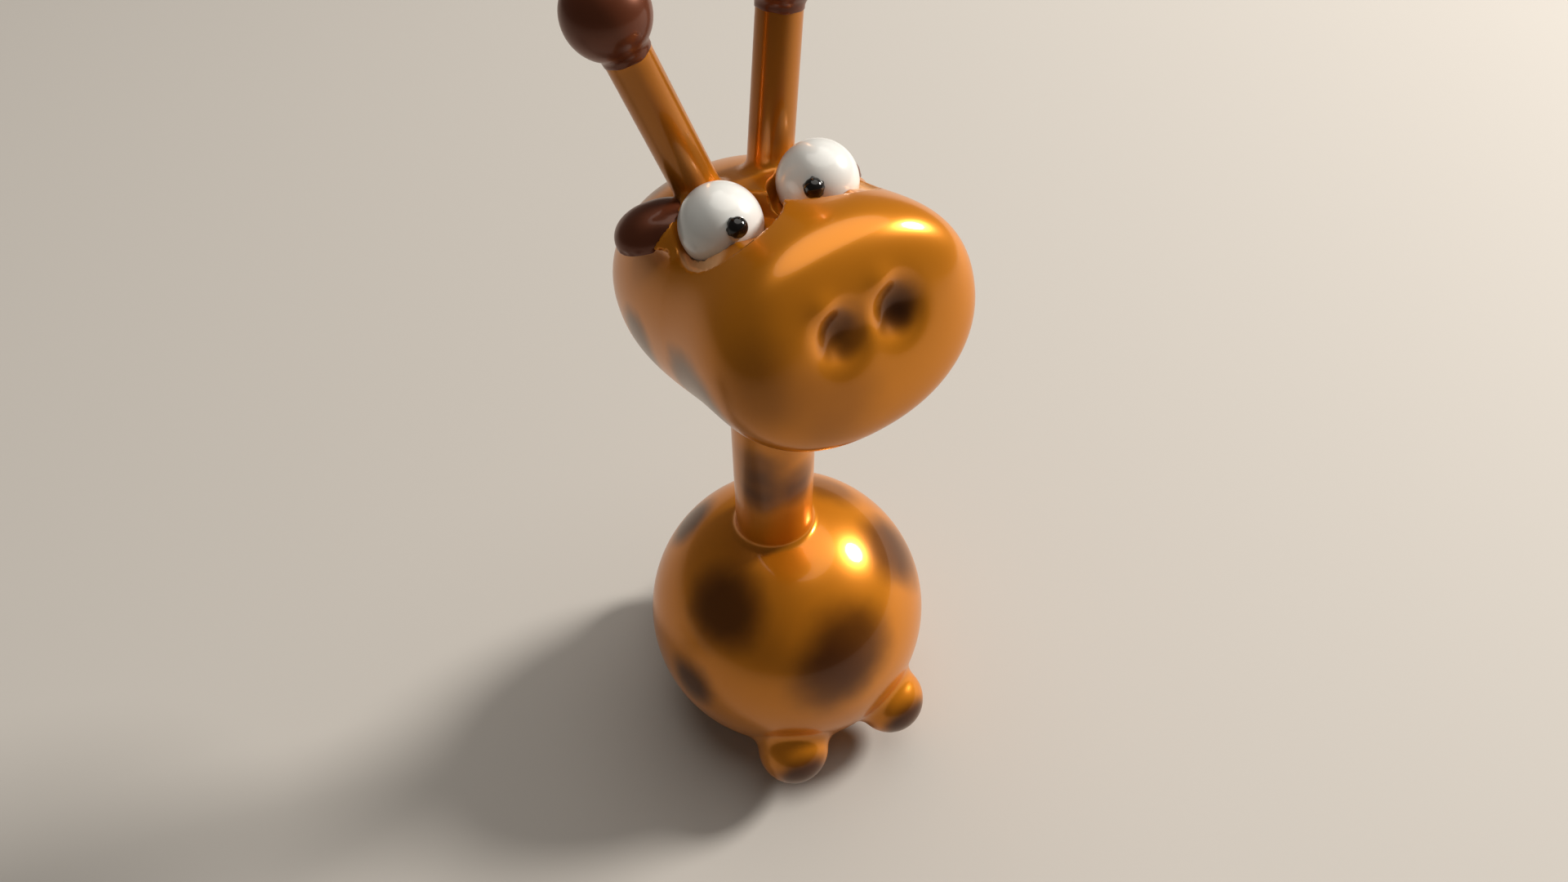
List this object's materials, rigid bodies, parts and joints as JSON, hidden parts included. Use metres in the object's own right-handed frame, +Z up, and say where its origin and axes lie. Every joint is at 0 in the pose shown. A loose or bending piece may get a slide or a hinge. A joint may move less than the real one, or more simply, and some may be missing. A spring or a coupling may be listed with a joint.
{
  "type": "balloon giraffe",
  "caption": "Glossy giraffe ornament with a round ball body on a flat sole, stub feet, straight neck, broad muzzle, horns with round knobs, and ball eyes.",
  "frame": {"origin": "middle of the flat sole under the ball body", "axes": "+Z up, -Y the way the body faces, +X towards the giraffe's left"},
  "size_m": [0.106, 0.1184, 0.2999],
  "materials": {
    "orange_lacquer": "glossy orange-brown lacquer with soft sprayed dark brown spots",
    "brown_lacquer": "glossy dark brown lacquer",
    "white_enamel": "high gloss white",
    "black_enamel": "high gloss black"
  },
  "bodies": {
    "root": {"giraffe_casting": "orange_lacquer", "horn_knob_right": "brown_lacquer", "horn_knob_left": "brown_lacquer", "ear_right": "brown_lacquer", "ear_left": "brown_lacquer", "eye_right": "white_enamel", "eye_left": "white_enamel", "pupil_right": "black_enamel", "pupil_left": "black_enamel"}
  },
  "joints": []
}
